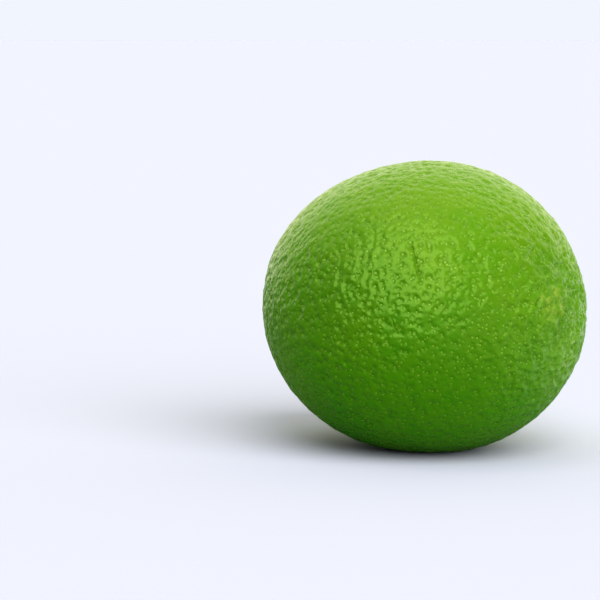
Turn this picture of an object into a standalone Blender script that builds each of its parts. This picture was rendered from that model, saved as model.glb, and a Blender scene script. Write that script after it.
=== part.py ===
"""One whole key lime, as picked, lying on its side on a small flat spot.

The fruit is one solid. Its long axis runs along X: the blossom end, with its low
nipple and puckered skin, is at +X, and the stem end, with its shallow scar, is at -X.
+Z is up, and the origin is on the resting surface under the middle of the fruit.
Sizes are in metres.
"""

from math import cos, pi, radians, sin, tan

import bmesh
import bpy
import numpy as np
from mathutils import Vector

MM = 0.001

# The bare body is an ellipsoid, as round about its long axis as it is wide.
LENGTH = 43.7 * MM
WIDTH = 38.0 * MM
SEMI_AXES = np.array((LENGTH / 2, WIDTH / 2, WIDTH / 2))

# Broad bulges and flats that make the body uneven, each by its direction from the
# centre, how far it stands out (or in, with a minus) and how many degrees it spreads.
# The first one flattens the underside.
LOBES = (
    ((-0.01, -0.03, -1.00), -0.66 * MM, 17),
    ((0.73, 0.64, 0.24), -0.29 * MM, 17),
    ((0.30, 0.37, 0.88), 0.22 * MM, 24),
    ((-0.33, -0.14, 0.93), -0.30 * MM, 26),
    ((-0.54, -0.54, -0.64), 0.06 * MM, 24),
    ((0.56, 0.37, -0.74), 0.06 * MM, 26),
    ((-0.55, 0.75, 0.36), 0.25 * MM, 32),
    ((0.10, 0.93, -0.35), -0.20 * MM, 28),
    ((-0.93, -0.10, 0.36), 0.15 * MM, 22),
)

# How much is sliced off the underside for the flat spot.
FLAT_DEPTH = 0.16 * MM

# Blossom end: a low nipple a little above the long axis and to its -Y side, with a
# small pit in its tip and a shallow furrow round its foot.
APEX_RISE = radians(6.0)
APEX_TURN = radians(7.5)
APEX_TOWARD = np.array((cos(APEX_TURN), -sin(APEX_TURN), tan(APEX_RISE)))
APEX = APEX_TOWARD * cos(APEX_RISE) * SEMI_AXES
NIPPLE_HEIGHT = 0.70 * MM
NIPPLE_RADIUS = 3.4 * MM
TIP_PIT_DEPTH = 0.35 * MM
TIP_PIT_RADIUS = 1.0 * MM
COLLAR_DEPTH = 0.16 * MM
COLLAR_RADIUS = 5.2 * MM
COLLAR_WIDTH = 1.3 * MM

# Stem end: a shallow hollow, and in it the round scar of the stalk.
STEM = np.array((-LENGTH / 2, 0.0, 0.0))
HOLLOW_DEPTH = 0.85 * MM
HOLLOW_RADIUS = 4.6 * MM
SCAR_RADIUS = 1.7 * MM
SCAR_RISE = 0.40 * MM
SCAR_EDGE = 0.5 * MM

# Folds of the skin that run out from each end: how many, how high, how far out they
# are highest, how unevenly they are spread and where the first one starts.
APEX_FOLDS = (7, 0.22 * MM, 3.4 * MM, 1.3, 0.6)
STEM_FOLDS = (7, 0.24 * MM, 4.2 * MM, 0.8, 0.4)

# The pebbled skin: pits, wider apart and deeper than a real fruit's oil glands. There
# are none on the folds at the two ends or round the flat spot.
PIT_SPACING = 2.8 * MM
PIT_DEPTH = 0.38 * MM
PIT_DEPTH_SPREAD = 0.35
PIT_SEED = 7
END_CLEARANCE = 6.0 * MM
FOOT_CLEARANCE = 6.5 * MM

# The grid of the skin is a cube's grid blown up to a ball: how often each edge of the
# cube is cut, and how much closer together the points are at the two ends.
GRID_CUTS = 29
END_CLOSENESS = 0.3

PEEL_COLOUR = (0.105, 0.305, 0.012, 1.0)
PEEL_ROUGHNESS = 0.42
PEEL_METALLIC = 0.0
SHARP_ANGLE = radians(50)
SMALLEST = 1e-9


def clear_scene():
    """Remove whatever the file held."""
    for obj in list(bpy.data.objects):
        bpy.data.objects.remove(obj, do_unlink=True)


def bell(distance, radius):
    """1 at no distance, falling smoothly to 1/e at the radius."""
    return np.exp(-((distance / radius) ** 2))


def plateau(distance, radius, edge):
    """1 out to the radius, then an even S down to 0 over the width of the edge."""
    t = np.clip((distance - radius) / edge, 0.0, 1.0)
    return 1 - t * t * (3 - 2 * t)


def ball_grid():
    """A cube whose sides are cut into even grids, and where its points go on a ball."""
    bm = bmesh.new()
    bmesh.ops.create_cube(bm, size=2.0)
    bmesh.ops.subdivide_edges(bm, edges=bm.edges[:], cuts=GRID_CUTS, use_grid_fill=True)
    ball = np.tan(np.array([v.co for v in bm.verts]) * pi / 4)
    ball /= np.linalg.norm(ball, axis=1)[:, None]
    from_end = np.arccos(np.clip(ball[:, 0], -1, 1))
    moved = from_end - END_CLOSENESS / 2 * np.sin(2 * from_end)
    off_axis = np.maximum(np.hypot(ball[:, 1], ball[:, 2]), SMALLEST)
    ball[:, 0] = np.cos(moved)
    ball[:, 1:] *= (np.sin(moved) / off_axis)[:, None]
    return bm, ball


def around(points, centre):
    """How far the points are from the line through an end, and their angle round it."""
    axis = centre / np.linalg.norm(centre)
    side = np.cross((0.0, 0.0, 1.0), axis)
    side /= np.linalg.norm(side)
    top = np.cross(axis, side)
    return (
        np.hypot(points @ side, points @ top),
        np.arctan2(points @ top, points @ side),
    )


def lobe_relief(ball):
    """Height of the broad bulges and flats."""
    height = np.zeros(len(ball))
    for toward, size, spread in LOBES:
        toward = np.array(toward) / np.linalg.norm(toward)
        apart = np.arccos(np.clip(ball @ toward, -1, 1))
        height += size * bell(apart, radians(spread))
    return height


def fold_relief(apart, turn, folds):
    """Height of the folds round an end: waves in the angle, highest some way out."""
    count, size, radius, uneven, start = folds
    reach = (apart / radius) ** 2
    wave = np.cos(count * turn + uneven * np.sin(2 * turn + start))
    return size * wave * reach * np.exp(1 - reach)


def apex_relief(points):
    """Height of the nipple with its pit, its collar furrow and the folds around it."""
    apart, turn = around(points, APEX)
    height = NIPPLE_HEIGHT * bell(apart, NIPPLE_RADIUS)
    height -= TIP_PIT_DEPTH * bell(apart, TIP_PIT_RADIUS)
    height -= COLLAR_DEPTH * bell(apart - COLLAR_RADIUS, COLLAR_WIDTH)
    height += fold_relief(apart, turn, APEX_FOLDS)
    return np.where(points[:, 0] > 0, height, 0.0)


def stem_relief(points):
    """Height of the hollow at the stem end, the scar in it and the folds around it."""
    apart, turn = around(points, STEM)
    height = SCAR_RISE * plateau(apart, SCAR_RADIUS, SCAR_EDGE)
    height -= HOLLOW_DEPTH * bell(apart, HOLLOW_RADIUS)
    height += fold_relief(apart, turn, STEM_FOLDS)
    return np.where(points[:, 0] < 0, height, 0.0)


def pit_relief(points):
    """Height of the pits: grid points taken in a drawn order, no two too close."""
    chance = np.random.default_rng(PIT_SEED)
    order = chance.permutation(len(points))
    depth = PIT_DEPTH * (1 - PIT_DEPTH_SPREAD * chance.random(len(points)))
    free = np.linalg.norm(points - APEX, axis=1) > END_CLEARANCE
    free &= np.linalg.norm(points - STEM, axis=1) > END_CLEARANCE
    sideways = np.hypot(points[:, 0], points[:, 1])
    free &= (sideways > FOOT_CLEARANCE) | (points[:, 2] > 0)
    height = np.zeros(len(points))
    for index in order:
        if free[index]:
            height[index] = -depth[index]
            free &= np.linalg.norm(points - points[index], axis=1) > PIT_SPACING
    return height


def shape_skin(bm, ball):
    """Put every point on the bare body, moved out or in along the body's normal."""
    points = ball * SEMI_AXES
    normals = ball / SEMI_AXES
    normals /= np.linalg.norm(normals, axis=1)[:, None]
    height = lobe_relief(ball) + apex_relief(points)
    height += stem_relief(points) + pit_relief(points)
    for vert, place in zip(bm.verts, points + normals * height[:, None]):
        vert.co = place


def slice_flat_spot(bm):
    """Slice the lowest bit off and close the cut with one flat face."""
    lowest = min(v.co.z for v in bm.verts)
    cut = bmesh.ops.bisect_plane(
        bm,
        geom=bm.verts[:] + bm.edges[:] + bm.faces[:],
        plane_co=(0, 0, lowest + FLAT_DEPTH),
        plane_no=(0, 0, -1),
        clear_outer=True,
    )
    rim = [e for e in cut["geom_cut"] if isinstance(e, bmesh.types.BMEdge)]
    bmesh.ops.edgeloop_fill(bm, edges=rim)
    bmesh.ops.recalc_face_normals(bm, faces=bm.faces[:])


def set_down(bm):
    """Stand the fruit on its flat spot with its box centred over the origin."""
    low = Vector([min(v.co[i] for v in bm.verts) for i in range(3)])
    high = Vector([max(v.co[i] for v in bm.verts) for i in range(3)])
    middle = (low + high) / 2
    bmesh.ops.translate(bm, verts=bm.verts[:], vec=(-middle.x, -middle.y, -low.z))


def peel_material():
    """Waxy green peel."""
    material = bpy.data.materials.new("peel")
    material.use_nodes = True
    shader = material.node_tree.nodes["Principled BSDF"]
    shader.inputs["Base Color"].default_value = PEEL_COLOUR
    shader.inputs["Roughness"].default_value = PEEL_ROUGHNESS
    shader.inputs["Metallic"].default_value = PEEL_METALLIC
    return material


def build_lime():
    """The fruit as one named object."""
    bm, ball = ball_grid()
    shape_skin(bm, ball)
    slice_flat_spot(bm)
    set_down(bm)
    mesh = bpy.data.meshes.new("key_lime")
    bm.to_mesh(mesh)
    bm.free()
    mesh.shade_smooth()
    mesh.set_sharp_from_angle(angle=SHARP_ANGLE)
    mesh.materials.append(peel_material())
    lime = bpy.data.objects.new("key_lime", mesh)
    bpy.context.scene.collection.objects.link(lime)


def main():
    """Build the part in an empty scene."""
    clear_scene()
    build_lime()


main()
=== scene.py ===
"""One whole key lime on a pale studio floor: its finished rind, lights and camera.

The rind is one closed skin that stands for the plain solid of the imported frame: an
uneven ellipsoid lying along X, with the puckered blossom end at +X, the stem scar at -X
and a small flat spot underneath. Its oil glands are laid out once, and the same layout
gives the pits in the mesh and the dots and finer pits in the finish. +Z is up, and all
lengths are in metres unless a name ends in _mm.
"""

import logging
from dataclasses import dataclass, field
from enum import Enum
from math import cos, pi, radians, sin, tau

import bpy
import numpy as np
from mathutils import Matrix, Vector


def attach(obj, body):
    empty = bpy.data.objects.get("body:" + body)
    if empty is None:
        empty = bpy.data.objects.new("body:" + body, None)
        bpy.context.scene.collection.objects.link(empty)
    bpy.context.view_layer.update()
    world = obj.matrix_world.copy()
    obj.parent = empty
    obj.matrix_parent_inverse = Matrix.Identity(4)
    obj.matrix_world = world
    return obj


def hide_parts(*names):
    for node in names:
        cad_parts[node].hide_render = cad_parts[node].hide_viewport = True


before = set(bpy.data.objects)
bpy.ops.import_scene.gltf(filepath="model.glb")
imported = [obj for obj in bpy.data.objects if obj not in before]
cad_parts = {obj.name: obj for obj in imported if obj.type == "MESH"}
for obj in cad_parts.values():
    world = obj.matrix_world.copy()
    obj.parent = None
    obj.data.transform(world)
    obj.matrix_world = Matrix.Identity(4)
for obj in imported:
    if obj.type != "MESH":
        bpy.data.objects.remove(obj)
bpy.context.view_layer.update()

MM = 0.001
NODE = "key_lime"

Array = np.ndarray
Span = tuple[float, float]
Way = tuple[float, float, float]
Colour = tuple[float, float, float]
Socket = bpy.types.NodeSocket
Feed = Socket | Vector | float | tuple[float, ...]

log = logging.getLogger("key_lime")


class End(Enum):
    """The two ends of the long axis, by the sign of their X."""

    BLOSSOM = 1
    STEM = -1

    def only(self, points: Array, values: Array) -> Array:
        """The values on this end's half of the fruit, and nothing on the other."""
        return np.where(points[:, 0] * self.value > 0, values, 0.0)


class Marks(Enum):
    """Names of the numbers that are kept on the mesh for the finish."""

    GLAND_A = "gland_a"
    GLAND_B = "gland_b"
    GLAND_C = "gland_c"
    RADII = "gland_radii"
    TONES = "gland_tones"
    SCARS = "scar_marks"
    CUT = "cut_apart_mm"
    # Vigour of the fine relief, and the patches of painted shade and painted light, each partly
    # chance tone.
    MOODS = "skin_moods"


NEAREST = (Marks.GLAND_A, Marks.GLAND_B, Marks.GLAND_C)


# Formulas that several parts of the rind share.


def unit(vectors: Array) -> Array:
    """The vectors at a length of one, along the last axis."""
    return vectors / np.linalg.norm(vectors, axis=-1, keepdims=True)


def bell(distance: Array, radius: float) -> Array:
    """1 at no distance, falling to 1/e at the radius: exp(-(distance / radius)^2)."""
    return np.exp(-((distance / radius) ** 2))


def plateau(distance: Array, radius: float, edge: float) -> Array:
    """A level top with a smooth edge.

    Args:
        distance: Distances from the middle.
        radius: Where the level top ends.
        edge: Width over which it falls to nothing.

    Returns:
        1 out to the radius, then 1 - (3t^2 - 2t^3) with t the share of the edge passed.
    """
    t = np.clip((distance - radius) / edge, 0.0, 1.0)
    return 1 - t * t * (3 - 2 * t)


@dataclass(frozen=True)
class Patch:
    """A round patch of the skin where something is added, or with a minus taken away.

    It has the direction of its middle from the fruit's centre, the amount there, and the
    angle in degrees at which that has fallen to 1/e.
    """

    toward: Way
    amount: float
    spread: float

    def over(self, ball: Array) -> Array:
        """The amount times the bell of the angle from the middle, for each direction."""
        angle = np.arccos(np.clip(ball @ unit(np.array(self.toward)), -1, 1))
        return self.amount * bell(angle, radians(self.spread))


def total(patches: tuple[Patch, ...], ball: Array) -> Array:
    """All the patches added up, for each direction from the centre."""
    return sum(patch.over(ball) for patch in patches)


@dataclass(frozen=True)
class Ripple:
    """Smooth chance relief of one grain size, with the seed that draws its waves."""

    size: float
    wavelength: float
    seed: int
    count: int = 36
    spread: Span = (0.75, 1.25)

    def over(self, points: Array) -> Array:
        """Height of the ripple.

        Args:
            points: Places, one a row.

        Returns:
            The sum of cosine waves in chance directions, with chance starts and lengths
            within the spread about the mean, scaled so that its mean square is a
            quarter of the size's square.
        """
        chance = np.random.default_rng(self.seed)
        toward = unit(chance.normal(size=(self.count, 3)))
        lengths = self.wavelength * chance.uniform(*self.spread, self.count)
        start = chance.uniform(0, tau, self.count)
        waves = np.cos(points @ (toward * (tau / lengths)[:, None]).T + start)
        return self.size * (waves.sum(axis=1) / np.sqrt(2 * self.count))


def around(points: Array, centre: Array) -> tuple[Array, Array]:
    """Polar coordinates about the line from the fruit's centre through an end.

    Args:
        points: Places on the fruit.
        centre: The end's place.

    Returns:
        How far each point is from the line, and its angle round it.
    """
    axis = unit(centre)
    side = unit(np.cross((0.0, 0.0, 1.0), axis))
    top = np.cross(axis, side)
    across, up = points @ side, points @ top
    return np.hypot(across, up), np.arctan2(up, across)


@dataclass(frozen=True)
class Folds:
    """Folds of the skin that run out from an end like spokes.

    They are highest at the radius. The unevenness crowds some of them together, and the
    start turns the crowding round.
    """

    count: int
    height: float
    radius: float
    uneven: float
    start: float

    def relief(self, apart: Array, turn: Array) -> Array:
        """Height of the folds.

        Args:
            apart: Distances from the end's line.
            turn: Angles round it.

        Returns:
            cos(count * turn + uneven * sin(2 * turn + start)), times r^2 exp(1 - r^2)
            with r the distance over the radius, so that they are highest there.
        """
        reach = (apart / self.radius) ** 2
        wave = np.cos(self.count * turn + self.uneven * np.sin(2 * turn + self.start))
        return self.height * wave * reach * np.exp(1 - reach)


@dataclass(frozen=True)
class Body:
    """The bare body: an ellipsoid, round about X, with broad bulges and flats."""

    length: float = 43.7 * MM
    width: float = 38.0 * MM
    lobes: tuple[Patch, ...] = (
        Patch((-0.01, -0.03, -1.00), -0.66 * MM, 17),
        Patch((0.73, 0.64, 0.24), -0.29 * MM, 17),
        Patch((0.30, 0.37, 0.88), 0.22 * MM, 24),
        Patch((-0.33, -0.14, 0.93), -0.30 * MM, 26),
        Patch((-0.54, -0.54, -0.64), 0.06 * MM, 24),
        Patch((0.56, 0.37, -0.74), 0.06 * MM, 26),
        Patch((-0.55, 0.75, 0.36), 0.25 * MM, 32),
        Patch((0.10, 0.93, -0.35), -0.20 * MM, 28),
        Patch((-0.93, -0.10, 0.36), 0.15 * MM, 22),
    )

    def semi_axes(self) -> Array:
        """Half the length, half the width and half the width again."""
        return np.array((self.length, self.width, self.width)) / 2

    def normals(self, ball: Array) -> Array:
        """Outward normals of the ellipsoid: each direction over the semi-axes."""
        return unit(ball / self.semi_axes())

    def relief(self, ball: Array) -> Array:
        """Height of the bulges and flats."""
        return total(self.lobes, ball)


BODY = Body()
AXES = BODY.semi_axes()


@dataclass(frozen=True)
class BlossomEnd:
    """Low nipple with a pit in its tip, a furrow round its foot and a yellowish scar.

    The skin is crumpled on the tip, and a net of fine ridges spreads out round it.
    """

    rise: float = radians(6.0)
    turn: float = radians(7.5)
    nipple_height: float = 0.70 * MM
    nipple_radius: float = 3.4 * MM
    pit_depth: float = 0.22 * MM
    pit_radius: float = 1.0 * MM
    collar_depth: float = 0.16 * MM
    collar_radius: float = 5.2 * MM
    collar_width: float = 1.3 * MM
    folds: Folds = Folds(7, 0.10 * MM, 3.4 * MM, 1.3, 0.6)
    scar_radius: float = 1.45 * MM
    scar_edge: float = 0.7 * MM
    scar_ragged: Ripple = Ripple(0.9 * MM, 1.5 * MM, seed=31)
    crumple: Ripple = Ripple(0.11 * MM, 0.85 * MM, seed=33)
    crumple_reach: Span = (1.2 * MM, 1.2 * MM)
    net: Ripple = Ripple(1.0, 3.0 * MM, seed=32)
    net_height: float = 0.22 * MM
    net_line: float = 0.22
    net_reach: Span = (4.0 * MM, 13.0 * MM)
    net_squeeze: Way = (1.0, 1.0, 0.6)

    def centre(self) -> Array:
        """Place of the tip: a little above the long axis and to its -Y side."""
        level = np.array((cos(self.turn), -sin(self.turn), 0.0)) * cos(self.rise)
        return (level + (0.0, 0.0, sin(self.rise))) * AXES

    def relief(self, points: Array) -> Array:
        """Height of the nipple, less its pit and collar furrow, with its folds.

        Args:
            points: Places on the ellipsoid.

        Returns:
            Bells of the distance from the tip's line, and the folds, at +X only.
        """
        apart, turn = around(points, self.centre())
        height = self.nipple_height * bell(apart, self.nipple_radius)
        height -= self.pit_depth * bell(apart, self.pit_radius)
        height -= self.collar_depth * bell(apart - self.collar_radius, self.collar_width)
        height += self.folds.relief(apart, turn)
        return End.BLOSSOM.only(points, height)

    def scar(self, points: Array) -> Array:
        """How much each point belongs to the scar: a ragged plateau."""
        apart = around(points, self.centre())[0] + self.scar_ragged.over(points)
        return End.BLOSSOM.only(points, plateau(apart, self.scar_radius, self.scar_edge))

    def creases(self, points: Array) -> Array:
        """Crumpled skin on the scar, and a net of fine ridges round it.

        Args:
            points: Places on the ellipsoid.

        Returns:
            Ripples on the tip, and a ridge wherever another ripple passes through
            nothing: the bell of its height. Its places are squeezed along Z first, so
            that the cells of the net are longer that way.
        """
        apart, _ = around(points, self.centre())
        height = plateau(apart, *self.crumple_reach) * self.crumple.over(points)
        lines = bell(self.net.over(points * self.net_squeeze), self.net_line)
        height += self.net_height * plateau(apart, *self.net_reach) * lines
        return End.BLOSSOM.only(points, height)


@dataclass(frozen=True)
class StemEnd:
    """Shallow hollow with the round, slightly raised scar of the stalk in it."""

    hollow_depth: float = 0.85 * MM
    hollow_radius: float = 4.6 * MM
    scar_radius: float = 1.7 * MM
    scar_rise: float = 0.40 * MM
    scar_edge: float = 0.5 * MM
    folds: Folds = Folds(7, 0.24 * MM, 4.2 * MM, 0.8, 0.4)
    ring_radius: float = 1.05 * MM
    ring_depth: float = 0.16 * MM
    ring_width: float = 0.35 * MM
    cork_edge: float = 0.4 * MM
    cork_ragged: Ripple = Ripple(0.35 * MM, 1.2 * MM, seed=41)

    def centre(self) -> Array:
        """Place of the scar: the -X tip of the ellipsoid."""
        return np.array((-AXES[0], 0.0, 0.0))

    def relief(self, points: Array) -> Array:
        """Height of the scar's pad in its hollow, with the folds round them.

        Args:
            points: Places on the ellipsoid.

        Returns:
            A plateau for the pad with a sunk ring in it, less the bell of the hollow,
            and the folds, at -X only.
        """
        apart, turn = around(points, self.centre())
        height = self.scar_rise * plateau(apart, self.scar_radius, self.scar_edge)
        height -= self.ring_depth * bell(apart - self.ring_radius, self.ring_width)
        height -= self.hollow_depth * bell(apart, self.hollow_radius)
        height += self.folds.relief(apart, turn)
        return End.STEM.only(points, height)

    def scar(self, points: Array) -> Array:
        """How much each point belongs to the corky pad: a ragged plateau."""
        apart = around(points, self.centre())[0] + self.cork_ragged.over(points)
        return End.STEM.only(points, plateau(apart, self.scar_radius, self.cork_edge))


@dataclass(frozen=True)
class Furrows:
    """Short wavy furrows that run round the long axis, strong in a few patches.

    They are made of waves across the furrows, each with a length within the spread about
    the mean and with up to the most turns round the fruit.
    """

    depth: float = 0.095 * MM
    wavelength: float = 1.15 * MM
    spread: Span = (0.65, 1.5)
    most_turns: int = 34
    count: int = 60
    seed: int = 51
    sharpness: float = 2.0
    everywhere: float = 0.12
    patches: tuple[Patch, ...] = (
        Patch((0.12, -0.94, 0.32), 1.2, 16),
        Patch((0.36, -0.90, 0.25), 0.7, 16),
        Patch((1.00, 0.10, 0.05), 1.3, 34),
        Patch((-0.35, 0.85, 0.40), 0.6, 24),
        Patch((-1.00, 0.10, 0.00), 0.6, 26),
    )

    def strength(self, ball: Array) -> Array:
        """How strong the furrows are: a low level all over, and the round patches."""
        level = np.minimum(total(self.patches, ball), 1.0)
        return self.everywhere + (1 - self.everywhere) * level

    def relief(self, ball: Array) -> Array:
        """Height of the furrows.

        Args:
            ball: Directions from the centre.

        Returns:
            The sum of waves cos(k s + m a + start), where s is the length along the
            skin from the blossom end, a the angle round the long axis, k near one wave
            a wavelength and m a whole number of turns, so that they close round the
            fruit. Its tops are flattened as -ln(1 + exp(-c sum)) / c with c the
            sharpness, so that it is dark furrows in a level skin.
        """
        chance = np.random.default_rng(self.seed)
        along = AXES.mean() * np.arccos(np.clip(ball[:, 0], -1, 1))
        angle = np.arctan2(ball[:, 2], ball[:, 1])
        k = tau / (self.wavelength * chance.uniform(*self.spread, self.count))
        m = chance.integers(-self.most_turns, self.most_turns + 1, self.count)
        start = chance.uniform(0, tau, self.count)
        waves = np.cos(along[:, None] * k + angle[:, None] * m + start).sum(axis=1)
        waves /= np.sqrt(self.count / 2)
        sunk = np.logaddexp(0, -self.sharpness * waves) / self.sharpness
        return -self.depth * self.strength(ball) * sunk


@dataclass(frozen=True)
class Crease:
    """A narrow crease of the skin, or a ridge where its depth is below nothing.

    It runs from one direction to another, seen from the fruit's centre. It is level out
    to one share of its length from its middle and fades over another share.
    """

    start: Way
    end: Way
    depth: float
    width: float
    bend: float = 0.30 * MM
    bend_length: float = 3.2 * MM
    bend_seed: int = 81
    level_and_fade: Span = (0.36, 0.2)

    def ends(self) -> tuple[Array, Array]:
        """Unit directions of the start and the end."""
        return unit(np.array(self.start)), unit(np.array(self.end))

    def aside(self, points: Array) -> Array:
        """How far each point is from the plane of the crease, which a ripple bends."""
        bend = Ripple(self.bend, self.bend_length, self.bend_seed)
        return points @ unit(np.cross(*self.ends())) + bend.over(points)

    def fade(self, ball: Array) -> Array:
        """How strong the crease is along its length.

        Args:
            ball: Directions from the centre.

        Returns:
            1 along it, falling evenly to nothing at its start and its end.
        """
        first, last = self.ends()
        run = last - first
        along = (ball - (first + last) / 2) @ run / (run @ run)
        near = plateau(np.abs(along), *self.level_and_fade)
        return np.where(ball @ (first + last) > 0, near, 0.0)

    def relief(self, ball: Array, points: Array) -> Array:
        """Height of the crease.

        Args:
            ball: Directions from the centre.
            points: Places on the ellipsoid.

        Returns:
            Less the depth, times the bell of the distance from the plane and the fade.
        """
        return -self.depth * bell(self.aside(points), self.width) * self.fade(ball)


@dataclass(frozen=True)
class Creases:
    """The few single creases and ridges that stand out on the skin.

    The cuts are narrower than the mesh's cells, so the mesh has only a shallow groove
    for each, and the finish works the sharp line out from the distance to it.
    """

    lines: tuple[Crease, ...] = (
        Crease((0.20, -0.97, 0.17), (0.29, -0.95, -0.12), 0.05 * MM, 0.20 * MM),
        Crease((0.12, -0.99, 0.12), (0.17, -0.98, -0.08), 0.05 * MM, 0.20 * MM),
        Crease((0.97, -0.11, 0.23), (0.91, -0.14, 0.40), 0.13 * MM, 0.35 * MM, 0.42 * MM),
        Crease((0.99, 0.02, 0.10), (0.99, 0.03, -0.14), 0.14 * MM, 0.30 * MM, 0.36 * MM),
        Crease((0.94, -0.28, 0.20), (0.94, -0.27, -0.22), -0.12 * MM, 0.55 * MM, 0.66 * MM),
    )
    cuts: tuple[Crease, ...] = (
        Crease((0.450, -0.721, 0.516), (0.560, -0.777, 0.264), 0.06 * MM, 0.30 * MM, 0.14 * MM),
        Crease((0.422, -0.904, 0.070), (0.467, -0.881, -0.047), 0.05 * MM, 0.30 * MM, 0.14 * MM),
    )
    cut_reach: Span = (0.5 * MM, 0.4 * MM)
    cut_most_mm: float = 1.0

    def relief(self, ball: Array, points: Array) -> Array:
        """Height of all the lines and cuts."""
        return sum(crease.relief(ball, points) for crease in self.lines + self.cuts)

    def cut_marks(self, ball: Array, points: Array) -> tuple[Array, Array]:
        """Where each point lies from the nearest cut.

        Args:
            ball: Directions from the centre.
            points: Places on the ellipsoid.

        Returns:
            The distance in mm, less than nothing on one side, and how strong the cut is
            there, from 0 to 1: its fade, for the points within reach of it.
        """
        aside = np.array([cut.aside(points) for cut in self.cuts])
        fade = np.array([cut.fade(ball) for cut in self.cuts])
        strength = fade * plateau(np.abs(aside), *self.cut_reach)
        nearest = strength.argmax(axis=0), np.arange(len(ball))
        apart_mm = np.clip(aside[nearest] / MM, -self.cut_most_mm, self.cut_most_mm)
        return apart_mm, strength[nearest]


@dataclass(frozen=True)
class SkinGrid:
    """Even grid over a ball: a cube's grid blown up, closer together at the ends."""

    cells: int = 128
    end_closeness: float = 0.3
    smallest: float = 1e-12

    def sides(self) -> Array:
        """The six sides of the cube as grids of whole-number places.

        Returns:
            Array of side, row, column and coordinate. Rows and columns run so that a
            side's cells turn anticlockwise seen from outside.
        """
        steps = np.arange(self.cells + 1)
        row, column = np.meshgrid(steps, steps, indexing="ij")
        grids = []
        for axis in range(3):
            for far in (0, self.cells):
                places = np.empty(row.shape + (3,), int)
                places[..., axis] = far
                places[..., (axis + 1) % 3] = row if far else column
                places[..., (axis + 2) % 3] = column if far else row
                grids.append(places)
        return np.array(grids)

    def build(self) -> tuple[Array, Array]:
        """The grid as points on the ball and cells between them.

        Returns:
            Unit directions, one a row, and cells of four point numbers. A place u on
            the cube goes to tan(u pi / 4) before the cube is blown up, and an angle t
            from the long axis then goes to t - closeness / 2 * sin(2 t).
        """
        places = self.sides()
        span = self.cells + 1
        keys = places @ np.array((span * span, span, 1))
        cells = np.stack(
            (keys[:, :-1, :-1], keys[:, 1:, :-1], keys[:, 1:, 1:], keys[:, :-1, 1:]), axis=-1
        )
        kept, numbers = np.unique(cells.reshape(-1), return_inverse=True)
        cube = np.stack((kept // span**2, kept // span % span, kept % span), axis=1)
        ball = unit(np.tan((2 * cube / self.cells - 1) * pi / 4))
        angle = np.arccos(np.clip(ball[:, 0], -1, 1))
        moved = angle - self.end_closeness / 2 * np.sin(2 * angle)
        off_axis = np.maximum(np.hypot(ball[:, 1], ball[:, 2]), self.smallest)
        ball[:, 1:] *= (np.sin(moved) / off_axis)[:, None]
        ball[:, 0] = np.cos(moved)
        return ball, numbers.reshape(-1, 4)

    def blocks(self, size: int) -> Array:
        """Cells gathered into square blocks.

        Args:
            size: Cells along a block's side.

        Returns:
            Cell numbers, one block a row.
        """
        count = self.cells // size
        numbers = np.arange(6 * self.cells**2).reshape(6, count, size, count, size)
        return numbers.transpose(0, 1, 3, 2, 4).reshape(-1, size * size)


@dataclass(frozen=True)
class OilGlands:
    """Layout of the oil glands: an even spiral over the fruit, moved about by chance."""

    count: int = 8800
    jitter: float = 0.62
    large_every: int = 3
    large_shares: Span = (0.9, 0.06)
    small_mm: Span = (0.17, 0.28)
    large_mm: Span = (0.27, 0.41)
    pit_depth: float = 0.125 * MM
    pit_reach: float = 1.95
    seed: int = 61
    block: int = 16
    reach: float = 1.3 * MM

    def directions(self) -> Array:
        """Direction of each gland from the centre.

        Returns:
            The golden spiral: gland i at height 1 - (2i + 1) / count along X and
            i golden angles round it, then moved by chance up to the jitter's share of
            the spacing.
        """
        chance = np.random.default_rng(self.seed)
        number = np.arange(self.count)
        height = 1 - (2 * number + 1) / self.count
        angle = number * pi * (3 - 5**0.5)
        ring = np.sqrt(1 - height**2)
        spiral = np.stack((height, ring * np.cos(angle), ring * np.sin(angle)), axis=1)
        spacing = np.sqrt(4 * pi / self.count)
        moves = chance.normal(size=spiral.shape)
        moves *= self.jitter * spacing * chance.random((self.count, 1)) ** 0.5
        return unit(spiral + unit(moves) * np.linalg.norm(moves, axis=1, keepdims=True))

    def radii_mm(self) -> Array:
        """Radius of each gland.

        Returns:
            Every third gland along the spiral is large, but for a few chance ones, so
            that the large glands are evenly apart with small ones between them.
        """
        chance = np.random.default_rng(self.seed + 1)
        third = np.arange(self.count) % self.large_every == 0
        large = chance.random(self.count) < np.where(third, *self.large_shares)
        sizes = chance.random(self.count)
        kinds = [np.interp(sizes, (0, 1), kind) for kind in (self.large_mm, self.small_mm)]
        return np.where(large, *kinds)

    def tones(self) -> Array:
        """How bright each gland's dot is, from 0 to 1."""
        return np.random.default_rng(self.seed + 2).random(self.count)

    def nearest(self, grid: SkinGrid, middles: Array, glands: Array) -> Array:
        """The three glands nearest to each cell, by distance over radius.

        Args:
            grid: The skin's grid.
            middles: Middle of each cell.
            glands: Place of each gland.

        Returns:
            Three gland numbers a cell. It goes block by block: only glands within
            reach of a block are compared with its cells.
        """
        radii = self.radii_mm()
        found = np.empty((len(middles), 3), int)
        for cells in grid.blocks(self.block):
            here = middles[cells]
            centre = here.mean(axis=0)
            radius = np.linalg.norm(here - centre, axis=1).max() + self.reach
            near = np.flatnonzero(np.linalg.norm(glands - centre, axis=1) < radius)
            apart = np.linalg.norm(here[:, None] - glands[near], axis=2) / radii[near]
            found[cells] = near[np.argsort(apart, axis=1)[:, :3]]
        return found


@dataclass(frozen=True)
class NearGlands:
    """The three glands nearest to each cell.

    The offsets go from each gland to each corner of the cell, by cell, corner, gland and
    coordinate. The radii and the tones go by cell and gland.
    """

    offsets_mm: Array
    radii_mm: Array
    tones: Array


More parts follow.
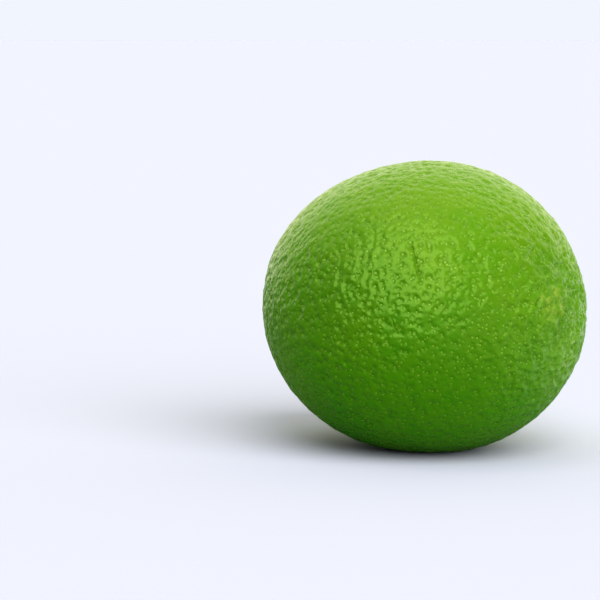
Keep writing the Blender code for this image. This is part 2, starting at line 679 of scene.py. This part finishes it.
@dataclass
class Rind:
    """The whole skin of the fruit, as one closed mesh.

    The moods make its fine relief stronger or weaker. The next patches darken its
    green: on the side the camera sees they are painted shade, on the other sides chance
    tone. The last patches lighten it: the one below the blossom end is painted light, a
    painted reflection of the bright floor, and the other two are chance tone.
    """

    name: str = "lime_rind"
    blossom: BlossomEnd = BlossomEnd()
    stem: StemEnd = StemEnd()
    furrows: Furrows = Furrows()
    creases: Creases = Creases()
    glands: OilGlands = OilGlands()
    grid: SkinGrid = SkinGrid()
    flat_depth: float = 0.16 * MM
    flat_edge: float = 0.03 * MM
    swell: Ripple = Ripple(0.03 * MM, 5.5 * MM, seed=71)
    pebbles: Ripple = Ripple(0.045 * MM, 2.1 * MM, seed=72)
    moods: tuple[Patch, ...] = (
        Patch((0.42, -0.45, 0.79), -0.50, 20),
        Patch((0.76, -0.57, -0.30), -0.35, 24),
        Patch((0.82, -0.57, 0.05), -0.15, 15),
        Patch((0.30, -0.40, -0.87), -0.25, 28),
        Patch((-0.60, 0.55, 0.60), -0.50, 22),
        Patch((0.97, 0.05, -0.05), 0.90, 25),
        Patch((0.85, -0.25, -0.50), 0.25, 14),
        Patch((0.15, -0.30, 0.94), 0.30, 16),
        Patch((0.02, -0.88, -0.48), 0.40, 18),
        Patch((-0.15, -0.72, 0.68), -0.35, 15),
        Patch((0.45, -0.80, 0.38), 0.16, 16),
        Patch((-0.90, -0.10, -0.10), 0.30, 30),
    )
    # Darker green: painted shade on the side the camera sees, on the left, below right of the
    # middle and above the blossom end; chance tone on the other sides.
    shade_and_tone_patches: tuple[Patch, ...] = (
        Patch((0.78, -0.60, -0.12), 0.36, 24),
        Patch((0.00, -0.97, 0.20), 0.40, 24),
        Patch((0.92, -0.08, 0.38), 0.30, 15),
        Patch((-0.65, -0.70, -0.10), 0.25, 26),
        Patch((-0.10, 0.95, 0.10), 0.30, 26),
        Patch((-0.45, 0.20, 0.85), 0.20, 22),
    )
    # Lighter green: painted light below the blossom end, a painted reflection of the bright floor;
    # chance tone on the other two.
    light_and_tone_patches: tuple[Patch, ...] = (
        Patch((0.97, 0.05, -0.20), 0.38, 17),
        Patch((-0.80, 0.45, 0.25), 0.20, 18),
        Patch((-0.20, 0.60, -0.75), 0.30, 22),
    )

    def skin(self, ball: Array) -> tuple[Array, Array]:
        """The skin without its fine relief.

        Args:
            ball: Directions from the centre.

        Returns:
            Places on the body moved along its normals by the relief of the bulges and
            of the two ends, and those normals.
        """
        points, normals = ball * AXES, BODY.normals(ball)
        height = BODY.relief(ball) + self.blossom.relief(points) + self.stem.relief(points)
        return points + normals * height[:, None], normals

    def vigour(self, ball: Array) -> Array:
        """How strong the fine relief is: 1, and more or less in the round patches."""
        return 1 + total(self.moods, ball)

    def fine_relief(self, ball: Array) -> Array:
        """Height of the fine relief but for the gland pits.

        Args:
            ball: Directions from the centre.

        Returns:
            The furrows and pebbles times the vigour, the crumpled tip and its net, the
            single creases and the low swell of the skin.
        """
        points = ball * AXES
        height = self.furrows.relief(ball) + self.pebbles.over(points)
        height *= self.vigour(ball)
        height += self.blossom.creases(points)
        height += self.creases.relief(ball, points)
        return height + self.swell.over(points)

    def near_glands(self, ball: Array, cells: Array) -> NearGlands:
        """Where each corner of each cell lies from the three glands nearest the cell.

        Args:
            ball: Directions of the mesh points.
            cells: Cells of four point numbers.

        Returns:
            The glands, with places on the skin without its fine relief.
        """
        points, _ = self.skin(ball)
        places, _ = self.skin(self.glands.directions())
        corners = points[cells]
        chosen = self.glands.nearest(self.grid, corners.mean(axis=1), places)
        offsets = (corners[:, :, None] - places[chosen][:, None]) / MM
        return NearGlands(offsets, self.glands.radii_mm()[chosen], self.glands.tones()[chosen])

    def pits(self, near: NearGlands, cells: Array, count: int) -> Array:
        """Height of the gland pits at the mesh points.

        Args:
            near: What near_glands returned.
            cells: Cells of four point numbers.
            count: How many mesh points there are.

        Returns:
            Less the pit's depth, which grows with the square of its radius, times a
            plateau of the distance over the radius. The deepest pit counts, so two that
            meet leave a ridge between them.
        """
        apart = np.linalg.norm(near.offsets_mm, axis=-1)
        radii = near.radii_mm[:, None]
        size = (radii / self.glands.large_mm[1]) ** 2
        hollow = (plateau(apart / radii, 0.0, self.glands.pit_reach) * size).max(axis=-1)
        deepest = np.zeros(count)
        np.maximum.at(deepest, cells.reshape(-1), hollow.reshape(-1))
        return -self.glands.pit_depth * deepest

    def set_down(self, points: Array) -> Array:
        """The fruit flattened where it rests, with its box centred over the origin.

        Args:
            points: Places round the body's centre.

        Returns:
            Places with z replaced by the smooth greater of z and the resting level,
            level + w ln(1 + exp((z - level) / w)), then moved as a whole.
        """
        lowest = points[:, 2].min()
        level, w = lowest + self.flat_depth, self.flat_edge
        flat = points.copy()
        flat[:, 2] = level + w * np.logaddexp(0, (points[:, 2] - level) / w)
        low, high = flat.min(axis=0), flat.max(axis=0)
        return flat - ((low[0] + high[0]) / 2, (low[1] + high[1]) / 2, low[2])

    def keep_marks(self, mesh: bpy.types.Mesh, ball: Array, near: NearGlands) -> None:
        """Keep on the mesh what the finish reads.

        Args:
            mesh: The rind's mesh.
            ball: Directions of its points.
            near: What near_glands returned.
        """
        for mark, offsets in zip(NEAREST, np.moveaxis(near.offsets_mm, 2, 0)):
            add_marks(mesh, mark, "CORNER", *offsets.reshape(-1, 3).T)
        add_marks(mesh, Marks.RADII, "FACE", *near.radii_mm.T)
        add_marks(mesh, Marks.TONES, "FACE", *near.tones.T)
        # Vigour of the relief, then the painted shade and the painted light patches, each partly
        # chance tone.
        moods = self.vigour(ball), total(self.shade_and_tone_patches, ball), total(self.light_and_tone_patches, ball)
        add_marks(mesh, Marks.MOODS, "POINT", *moods)
        points = ball * AXES
        apart_mm, strength = self.creases.cut_marks(ball, points)
        scars = self.blossom.scar(points), self.stem.scar(points)
        add_marks(mesh, Marks.SCARS, "POINT", *scars, strength)
        add_marks(mesh, Marks.CUT, "POINT", apart_mm)

    def build(self) -> bpy.types.Object:
        """Make the mesh with its marks.

        Returns:
            The rind's object, in the scene and with no material yet.
        """
        ball, cells = self.grid.build()
        near = self.near_glands(ball, cells)
        points, normals = self.skin(ball)
        height = self.fine_relief(ball)
        height += self.vigour(ball) * self.pits(near, cells, len(ball))
        points = self.set_down(points + normals * height[:, None])
        mesh = mesh_of(self.name, points, cells)
        self.keep_marks(mesh, ball, near)
        rind = bpy.data.objects.new(self.name, mesh)
        bpy.context.scene.collection.objects.link(rind)
        return rind

    def dress(self, rind: bpy.types.Object) -> None:
        """Give the rind its finish and its place in the frame.

        Args:
            rind: The rind's object.
        """
        rind.data.materials.append(PeelFinish().make())
        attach(rind, "root")
        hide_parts(NODE)


def mesh_of(name: str, points: Array, cells: Array) -> bpy.types.Mesh:
    """A smooth-shaded mesh of four-cornered cells.

    Args:
        name: Name of the mesh.
        points: Places, one a row.
        cells: Four point numbers a row.

    Returns:
        The mesh.
    """
    mesh = bpy.data.meshes.new(name)
    mesh.vertices.add(len(points))
    mesh.vertices.foreach_set("co", points.astype(np.float32).ravel())
    mesh.loops.add(cells.size)
    mesh.loops.foreach_set("vertex_index", cells.astype(np.int32).ravel())
    mesh.polygons.add(len(cells))
    mesh.polygons.foreach_set("loop_start", np.arange(0, cells.size, 4, dtype=np.int32))
    mesh.update(calc_edges=True)
    mesh.validate()
    mesh.shade_smooth()
    return mesh


def add_marks(mesh: bpy.types.Mesh, mark: Marks, domain: str, *values: Array) -> None:
    """Keep one or three numbers at each point, corner or cell of a mesh.

    Args:
        mesh: The mesh.
        mark: Gives the attribute its name.
        domain: POINT, CORNER or FACE.
        values: The first number of each, and so on.
    """
    kind, key = ("FLOAT_VECTOR", "vector") if len(values) > 1 else ("FLOAT", "value")
    attribute = mesh.attributes.new(mark.value, kind, domain)
    attribute.data.foreach_set(key, np.stack(values, axis=1).astype(np.float32).ravel())


@dataclass(frozen=True)
class Grain:
    """Noise in the finish: the size of its grain, how many finer grains, its weight."""

    size_mm: float
    detail: float
    weight: float = 1.0


# Where a Mix node has its two colours and the mix of them.
MIX_COLOURS = (6, 7)
MIX_RESULT = 2


@dataclass
class Bench:
    """Wires nodes together in one node tree."""

    tree: bpy.types.NodeTree

    def add(self, kind: str, **settings: object) -> bpy.types.Node:
        """Add a node.

        Args:
            kind: Its type.
            settings: Values of its properties.

        Returns:
            The node.
        """
        node = self.tree.nodes.new(kind)
        for name, value in settings.items():
            setattr(node, name, value)
        return node

    def feed(self, socket: Socket, value: Feed) -> None:
        """Link an input to another node's output, or set its value.

        Args:
            socket: The input.
            value: The output or the value. A colour is made opaque.
        """
        if isinstance(value, Socket):
            self.tree.links.new(value, socket)
        else:
            socket.default_value = (*value, 1) if socket.type == "RGBA" else value

    def run(self, node: bpy.types.Node, *values: Feed) -> bpy.types.NodeOutputs:
        """Feed a node.

        Args:
            node: The node.
            values: What its first inputs get, in order.

        Returns:
            Its outputs.
        """
        for socket, value in zip(node.inputs, values):
            self.feed(socket, value)
        return node.outputs

    def math(self, operation: str, *values: Feed) -> Socket:
        """The result of a Math node on the values."""
        return self.run(self.add("ShaderNodeMath", operation=operation), *values)[0]

    def vector_math(self, operation: str, *values: Feed) -> Socket:
        """The number that a Vector Math node makes of the vectors."""
        node = self.add("ShaderNodeVectorMath", operation=operation)
        return self.run(node, *values)["Value"]

    def place(self) -> Socket:
        """Places in object coordinates."""
        return self.add("ShaderNodeTexCoord").outputs["Object"]

    def span(self, value: Feed, ends: tuple[Feed, Feed], to: Span = (0.0, 1.0)) -> Socket:
        """A value moved smoothly from one range to another.

        Args:
            value: What is moved.
            ends: Start and end of its range.
            to: The result up to the start, and past the end.

        Returns:
            The result, with an S-shaped change between the two.
        """
        node = self.add("ShaderNodeMapRange", interpolation_type="SMOOTHSTEP")
        return self.run(node, value, *ends, *to)[0]

    def blend(self, share: Feed, first: Feed, second: Feed) -> Socket:
        """Mix two colours.

        Args:
            share: Share of the second colour.
            first: The first colour.
            second: The second colour.

        Returns:
            The mixed colour.
        """
        node = self.add("ShaderNodeMix", data_type="RGBA")
        self.feed(node.inputs["Factor"], share)
        for number, colour in zip(MIX_COLOURS, (first, second)):
            self.feed(node.inputs[number], colour)
        return node.outputs[MIX_RESULT]

    def noise(self, grain: Grain) -> Socket:
        """Make noise.

        Args:
            grain: Size and detail of the noise.

        Returns:
            Values around 0.5, by the place on the object.
        """
        node = self.add("ShaderNodeTexNoise")
        self.feed(node.inputs["Vector"], self.place())
        self.feed(node.inputs["Scale"], 1 / (grain.size_mm * MM))
        self.feed(node.inputs["Detail"], grain.detail)
        return node.outputs["Fac"]

    def on_top(self, base: Feed, grain: Grain) -> Socket:
        """The base plus the grain's noise times its weight."""
        return self.math("MULTIPLY_ADD", self.noise(grain), grain.weight, base)

    def marks(self, mark: Marks) -> bpy.types.NodeOutputs:
        """The sockets of what is kept on the mesh: Vector, or Fac for one number."""
        return self.add("ShaderNodeAttribute", attribute_name=mark.value).outputs

    def parts(self, vector: Feed) -> list[Socket]:
        """The three numbers of a vector, apart."""
        return list(self.run(self.add("ShaderNodeSeparateXYZ"), vector))

    def three(self, mark: Marks) -> list[Socket]:
        """The three numbers that are kept on the mesh, apart."""
        return self.parts(self.marks(mark)["Vector"])


@dataclass(frozen=True)
class GlandMark:
    """Node group for one oil gland: bowl, pit, a dark ring of painted shade in it and its pale
    dot.

    The three spans are distances over the radius, from where the mark is full to where
    it ends. A small gland's marks are weaker. The dot's radius is a share of the
    gland's, up to the most, and the core is the share of it that is full.
    """

    spans: tuple[tuple[str, Span], ...] = (
        ("Bowl", (0.2, 2.1)),
        ("Pit", (0.1, 1.15)),
        # The third mark only darkens the colour: it is painted shade in the pit's hollow.
        ("PitShade", (0.5, 1.15)),
    )
    size_span_mm: Span = (0.1, 0.5)
    least_size: float = 0.5
    dot_reach: float = 0.75
    dot_most_mm: float = 0.17
    dot_core: float = 0.35
    tone_span: Span = (0.1, 0.85)
    least_tone: float = 0.1

    def make(self) -> bpy.types.NodeTree:
        """Build the group.

        Returns:
            Tree with inputs Offset (from the gland, in mm), Radius (mm) and Tone, and
            outputs Bowl, Pit, Ring and Dot, each from 0 to 1, by the distance over the
            radius. The bowls of neighbours meet, and leave a net of ridges between them.
        """
        tree = bpy.data.node_groups.new("oil_gland", "ShaderNodeTree")
        for name, kind in (("Offset", "Vector"), ("Radius", "Float"), ("Tone", "Float")):
            tree.interface.new_socket(name, in_out="INPUT", socket_type=f"NodeSocket{kind}")
        for name in ("Bowl", "Pit", "PitShade", "Dot"):
            tree.interface.new_socket(name, in_out="OUTPUT", socket_type="NodeSocketFloat")
        bench = Bench(tree)
        given = bench.add("NodeGroupInput").outputs
        result = bench.add("NodeGroupOutput").inputs
        away = bench.vector_math("LENGTH", given["Offset"])
        share = bench.math("DIVIDE", away, given["Radius"])
        size = bench.span(given["Radius"], self.size_span_mm, (self.least_size, 1.0))
        for name, span in self.spans:
            near = bench.span(share, span, (1.0, 0.0))
            bench.feed(result[name], bench.math("MULTIPLY", near, size))
        edge = bench.math("MULTIPLY", given["Radius"], self.dot_reach)
        edge = bench.math("MINIMUM", edge, self.dot_most_mm)
        core = bench.math("MULTIPLY", edge, self.dot_core)
        dot = bench.span(away, (core, edge), (1.0, 0.0))
        bright = bench.span(given["Tone"], self.tone_span, (self.least_tone, 1.0))
        bench.feed(result["Dot"], bench.math("MULTIPLY", dot, bright))
        return tree


@dataclass(frozen=True)
class PeelFinish:
    """Waxy green peel: deep green to yellow-green, with its glands and the two scars.

    A span holds the values between which something changes from nothing to all. The
    other fields that end in _mm are heights and depths of the fine relief.
    """

    deep: Colour = (0.042, 0.325, 0.0012)
    bright: Colour = (0.220, 0.432, 0.008)
    # The green turns yellower towards the top: partly painted top light, partly the peel's own
    # tone.
    top_light_and_tone_heights: Span = (2 * MM, 34 * MM)
    top_light_and_tone_weight: float = 0.55
    broad: Grain = Grain(11, 2, 0.7)
    fine: Grain = Grain(1.6, 3, 0.35)
    tone_start: float = 0.42
    # Darker green that the shade patches mix in: painted shade on the side the camera sees, chance
    # tone elsewhere.
    shade: Colour = (0.032, 0.185, 0.001)
    # Lighter green that the light patches mix in: painted light below the blossom end, chance tone
    # elsewhere.
    pale: Colour = (0.30, 0.56, 0.07)
    # Dark green of each gland pit's ring: painted shade in the pit's hollow.
    ring: Colour = (0.020, 0.150, 0.001)
    pit_shade_share: float = 0.24
    dot: Colour = (0.33, 0.62, 0.05)
    dot_share: float = 0.75

    blossom_scar: Colour = (0.33, 0.50, 0.05)
    mottle: Grain = Grain(0.8, 3)
    mottle_span: Span = (0.42, 0.62)
    mottle_shares: Span = (0.08, 0.68)
    stem_scar: Colour = (0.40, 0.31, 0.13)
    stem_rim: Colour = (0.13, 0.12, 0.03)
    cork: Grain = Grain(0.45, 2)
    cork_span: Span = (0.40, 0.62)
    cork_edge_span: Span = (0.0, 0.5)
    cork_middle_span: Span = (0.45, 1.0)

    gloss_tint: Colour = (0.74, 1.0, 0.15)
    roughness: float = 0.24
    blossom_roughness: float = 0.12
    stem_roughness: float = 0.35
    cut_roughness: float = 0.35
    smear: Grain = Grain(2.2, 3)
    smear_span: Span = (0.3, 0.7)
    smear_roughness: Span = (-0.06, 0.06)

    pebbles: Grain = Grain(1.3, 1, 0.050)
    grain: Grain = Grain(0.42, 1.5, 0.050)
    bowl_mm: float = 0.068
    pit_mm: float = 0.058
    dome_mm: float = 0.028
    most_vigour: float = 1.4
    cut_mm: float = 0.11
    cut_span_mm: Span = (0.0, 0.22)

    def glands(self, bench: Bench) -> dict[str, Socket]:
        """The marks of the three glands nearest to each point.

        Args:
            bench: Wires the material.

        Returns:
            Bowl, Pit, Ring and Dot, each the greatest of the three.
        """
        tree = GlandMark().make()
        most: dict[str, Socket] = {}
        for mark, radius, tone in zip(NEAREST, bench.three(Marks.RADII), bench.three(Marks.TONES)):
            group = bench.add("ShaderNodeGroup", node_tree=tree)
            for found in bench.run(group, bench.marks(mark)["Vector"], radius, tone):
                known = most.get(found.name)
                most[found.name] = bench.math("MAXIMUM", known, found) if known else found
        return most

    def cut(self, bench: Bench, strength: Feed) -> Socket:
        """How much each point lies in a cut: the strength in the middle of its line."""
        aside = bench.math("ABSOLUTE", bench.marks(Marks.CUT)["Fac"])
        return bench.math("MULTIPLY", bench.span(aside, self.cut_span_mm, (1.0, 0.0)), strength)

    def green(self, bench: Bench, glands: dict[str, Socket]) -> Socket:
        """Colour of the peel without its scars.

        Args:
            bench: Wires the material.
            glands: Bowls, pits, rings and dots.

        Returns:
            Deep green turning to yellow-green with height, partly painted top light and
            partly the peel's own tone, and by broad and fine noise; darker in patches of
            painted shade on the side the camera sees and chance tone elsewhere, lighter in
            patches of painted light below the blossom end and chance tone elsewhere, darker in
            the rings, which are painted shade in the gland pits, and pale in the dots.
        """
        # Yellower with height: partly painted top light.
        height = bench.span(bench.parts(bench.place())[2], self.top_light_and_tone_heights)
        tone = bench.on_top(bench.math("MULTIPLY", height, self.top_light_and_tone_weight), self.broad)
        tone = bench.on_top(bench.math("SUBTRACT", tone, self.tone_start), self.fine)
        green = bench.blend(tone, self.deep, self.bright)
        # The second and third marks are the shares of painted shade and of painted light, each
        # chance tone off the side the camera sees.
        _, shade_and_tone, light_and_tone = bench.three(Marks.MOODS)
        # The rings are painted shade in the gland pits.
        ring = bench.math("MULTIPLY", glands["PitShade"], self.pit_shade_share)
        dot = bench.math("MULTIPLY", glands["Dot"], self.dot_share)
        shares, colours = (shade_and_tone, light_and_tone, ring, dot), (self.shade, self.pale, self.ring, self.dot)
        for share, colour in zip(shares, colours):
            green = bench.blend(share, green, colour)
        return green

    def scarred(self, bench: Bench, green: Feed, blossom: Feed, stem: Feed) -> Socket:
        """Colour of the peel with its scars.

        Args:
            bench: Wires the material.
            green: Colour without them.
            blossom: Mask of the blossom scar.
            stem: Mask of the stem scar.

        Returns:
            The green, mottled with yellow on the blossom scar, and tan cork with a dark
            rim and dark grains on the stem scar.
        """
        mottle = bench.span(bench.noise(self.mottle), self.mottle_span, self.mottle_shares)
        yellow = bench.math("MULTIPLY", blossom, mottle)
        green = bench.blend(yellow, green, self.blossom_scar)
        tan = bench.span(bench.noise(self.cork), self.cork_span)
        tan = bench.math("MULTIPLY", tan, bench.span(stem, self.cork_middle_span))
        cork = bench.blend(tan, self.stem_rim, self.stem_scar)
        return bench.blend(bench.span(stem, self.cork_edge_span), green, cork)

    def rough(self, bench: Bench, *masks: Feed) -> Socket:
        """Roughness of the peel.

        Args:
            bench: Wires the material.
            masks: The blossom scar, the stem scar and the cuts.

        Returns:
            The peel's own, more on each of these, and a little up or down by noise.
        """
        smear = bench.span(bench.noise(self.smear), self.smear_span, self.smear_roughness)
        rough = bench.math("ADD", smear, self.roughness)
        more = self.blossom_roughness, self.stem_roughness, self.cut_roughness
        for mask, extra in zip(masks, more):
            rough = bench.math("MULTIPLY_ADD", mask, extra, rough)
        return rough

    def relief(self, bench: Bench, glands: dict[str, Socket], cut: Feed) -> Socket:
        """Height of the relief finer than the mesh, in mm.

        Args:
            bench: Wires the material.
            glands: Bowls, pits, rings and dots.
            cut: How much each point lies in a cut.

        Returns:
            Pebbles and grain, less the bowls and pits, with a low dome in each pit, all
            of it higher or lower with the skin's vigour, less the cuts.
        """
        height = bench.on_top(bench.on_top(0.0, self.pebbles), self.grain)
        for name, size in (("Bowl", -self.bowl_mm), ("Pit", -self.pit_mm), ("Dot", self.dome_mm)):
            height = bench.math("MULTIPLY_ADD", glands[name], size, height)
        vigour = bench.math("MINIMUM", bench.three(Marks.MOODS)[0], self.most_vigour)
        height = bench.math("MULTIPLY", height, vigour)
        return bench.math("MULTIPLY_ADD", cut, -self.cut_mm, height)

    def make(self) -> bpy.types.Material:
        """Build the material.

        Returns:
            The peel's material.
        """
        material = bpy.data.materials.new("lime_peel")
        material.use_nodes = True
        bench = Bench(material.node_tree)
        shader = material.node_tree.nodes["Principled BSDF"].inputs
        blossom, stem, strength = bench.three(Marks.SCARS)
        cut = self.cut(bench, strength)
        glands = self.glands(bench)
        colour = self.scarred(bench, self.green(bench, glands), blossom, stem)
        bench.feed(shader["Base Color"], colour)
        bench.feed(shader["Roughness"], self.rough(bench, blossom, stem, cut))
        bench.feed(shader["Specular Tint"], self.gloss_tint)
        bump = bench.add("ShaderNodeBump")
        bench.feed(bump.inputs["Distance"], MM)
        bench.feed(bump.inputs["Height"], self.relief(bench, glands, cut))
        bench.feed(shader["Normal"], bump.outputs[0])
        return material


@dataclass(frozen=True)
class Lamp:
    """A wide, even soft light, named by where it stands seen from the fruit."""

    name: str
    azimuth: float
    elevation: float
    width: float
    strength: float
    colour: Colour = (1.0, 1.0, 1.0)
    diffuse: bool = True
    glossy: bool = True
    floor_only: bool = False

    def build(self, floor: bpy.types.Object) -> bpy.types.Object:
        """Make the lamp.

        Args:
            floor: What a lamp that is for the floor alone shines on.

        Returns:
            A sun as wide as its angle, shining down from its place.
        """
        light = bpy.data.lights.new(self.name, "SUN")
        light.energy = self.strength
        light.angle = radians(self.width)
        light.color = self.colour
        lamp = bpy.data.objects.new(self.name, light)
        back = direction(self.azimuth, self.elevation)
        lamp.rotation_euler = back.to_track_quat("Z", "Y").to_euler()
        lamp.visible_diffuse = self.diffuse
        lamp.visible_glossy = self.glossy
        if self.floor_only:
            lit = bpy.data.collections.new(f"{self.name}_lights")
            lit.objects.link(floor)
            lamp.light_linking.receiver_collection = lit
        bpy.context.scene.collection.objects.link(lamp)
        return lamp


def direction(azimuth: float, elevation: float) -> Vector:
    """Unit vector to a place seen from the fruit.

    Args:
        azimuth: Degrees from -Y towards +X.
        elevation: Degrees above the floor.

    Returns:
        (sin a cos e, -cos a cos e, sin e).
    """
    a, e = radians(azimuth), radians(elevation)
    return Vector((sin(a) * cos(e), -cos(a) * cos(e), sin(e)))


@dataclass(frozen=True)
class Wall:
    """A round patch of the surroundings that is brighter or darker than the rest.

    It is the full colour where the dot product of its direction with the way looked is
    above the middle, and fades out down to the edge.
    """

    azimuth: float
    elevation: float
    edge: float
    middle: float
    colour: Colour


@dataclass
class Studio:
    """Pale floor, pale surroundings, soft lamps and the camera.

    The floor and the world show the camera one even colour. What they send to the fruit
    is their fill: the floor's changes from near to far and round the fruit, and the
    world's has the walls in it.
    """

    azimuth: float = 40.0
    elevation: float = 6.0
    distance: float = 321.7 * MM
    lens: float = 150.0
    middle: Vector = field(default_factory=lambda: Vector((0.0, 0.0, 18.3 * MM)))
    aim_right: float = -16.2 * MM
    aim_up: float = 0.95 * MM
    backdrop: Colour = (0.880, 0.913, 0.991)
    surroundings: Colour = (0.81, 0.79, 0.68)
    walls: tuple[Wall, ...] = (
        Wall(-28, -6, 0.1, 0.92, (0.12, 0.125, 0.13)),
        Wall(112, 24, 0.25, 0.95, (0.42, 0.42, 0.36)),
        Wall(205, 12, 0.0, 0.95, (1.42, 1.40, 0.95)),
    )
    floor_size: float = 60.0
    floor_drop: float = 0.01 * MM
    floor_colour: Colour = (0.397, 0.409, 0.480)
    near_fill: Colour = (0.25, 0.36, 0.12)
    far_fill: Colour = (1.60, 1.60, 1.30)
    fill_azimuth: float = 130.0
    fill_turn: Span = (-0.85, 0.50)
    fill_span: Span = (5 * MM, 100 * MM)
    lamps: tuple[Lamp, ...] = (
        Lamp("overhead_lamp", 18, 68, 50, 1.24, (1.0, 1.0, 1.12), glossy=False),
        Lamp("window_lamp", 13, 34, 68, 3.6, (0.85, 0.95, 1.3), diffuse=False),
        Lamp("front_lamp", 60, 20, 50, 0.28, glossy=False),
        Lamp("floor_lamp", 68, 35, 60, 5.75, glossy=False, floor_only=True),
    )

    def build_floor(self) -> bpy.types.Object:
        """Make the floor, just under the fruit's resting face.

        Returns:
            The floor's object.
        """
        half = self.floor_size / 2
        corners = np.array(((-half, -half), (half, -half), (half, half), (-half, half)))
        level = np.full((4, 1), -self.floor_drop)
        mesh = mesh_of("floor", np.hstack((corners, level)), np.array(((0, 1, 2, 3),)))
        mesh.materials.append(self.paper())
        floor = bpy.data.objects.new("floor", mesh)
        bpy.context.scene.collection.objects.link(floor)
        return floor

    def paper(self) -> bpy.types.Material:
        """Make the floor's material.

        Returns:
            Matt paper of the floor's colour. To all but the camera, its colour goes from
            the near fill's share of it to the far fill's, by how far a place is turned
            towards the fill's azimuth and how far away it is.
        """
        material = bpy.data.materials.new("studio_paper")
        material.use_nodes = True
        bench = Bench(material.node_tree)
        shader = material.node_tree.nodes["Principled BSDF"].inputs
        place = bench.place()
        away = bench.vector_math("LENGTH", place)
        toward = bench.vector_math("DOT_PRODUCT", place, direction(self.fill_azimuth, 0.0))
        turned = bench.span(bench.math("DIVIDE", toward, away), self.fill_turn)
        share = bench.math("MULTIPLY", turned, bench.span(away, self.fill_span))
        near, far = np.multiply((self.near_fill, self.far_fill), self.floor_colour)
        seen = bench.add("ShaderNodeLightPath").outputs["Is Camera Ray"]
        colour = bench.blend(seen, bench.blend(share, near, far), self.floor_colour)
        bench.feed(shader["Base Color"], colour)
        bench.feed(shader["Roughness"], 1.0)
        bench.feed(shader["Specular IOR Level"], 0.0)
        return material

    def build_world(self) -> None:
        """Pale surroundings: the backdrop's colour behind, and a softer light on all."""
        world = bpy.data.worlds.new("studio")
        world.use_nodes = True
        bpy.context.scene.world = world
        bench = Bench(world.node_tree)
        shader = world.node_tree.nodes["Background"]
        toward = bench.add("ShaderNodeTexCoord").outputs["Generated"]
        light: Feed = self.surroundings
        for wall in self.walls:
            way = direction(wall.azimuth, wall.elevation)
            facing = bench.vector_math("DOT_PRODUCT", toward, way)
            share = bench.span(facing, (wall.edge, wall.middle))
            light = bench.blend(share, light, wall.colour)
        seen = bench.add("ShaderNodeLightPath").outputs["Is Camera Ray"]
        bench.feed(shader.inputs["Color"], bench.blend(seen, light, self.backdrop))

    def build_camera(self) -> None:
        """The camera: it looks at the fruit from its azimuth and elevation."""
        back = direction(self.azimuth, self.elevation)
        right = Vector((cos(radians(self.azimuth)), sin(radians(self.azimuth)), 0.0))
        up = back.cross(right)
        aim = self.middle + self.aim_right * right + self.aim_up * up
        lens = bpy.data.cameras.new("camera")
        lens.lens = self.lens
        camera = bpy.data.objects.new("camera", lens)
        turn = Matrix((right, up, back)).transposed()
        camera.matrix_world = Matrix.Translation(aim + self.distance * back) @ turn.to_4x4()
        bpy.context.scene.collection.objects.link(camera)
        bpy.context.scene.camera = camera

    def build(self) -> None:
        """Set the whole studio up."""
        floor = self.build_floor()
        self.build_world()
        self.build_camera()
        for lamp in self.lamps:
            lamp.build(floor)
        bpy.context.scene.view_settings.view_transform = "Standard"


def main() -> None:
    """Build the studio, then the fruit, and report each."""
    logging.basicConfig(level=logging.INFO, format="%(name)s: %(message)s")
    Studio().build()
    log.info("studio built")
    rind_maker = Rind()
    rind = rind_maker.build()
    rind_maker.dress(rind)
    log.info("%s: %d cells, %d glands", rind.name, len(rind.data.polygons), OilGlands.count)


if __name__ == "__main__":
    main()
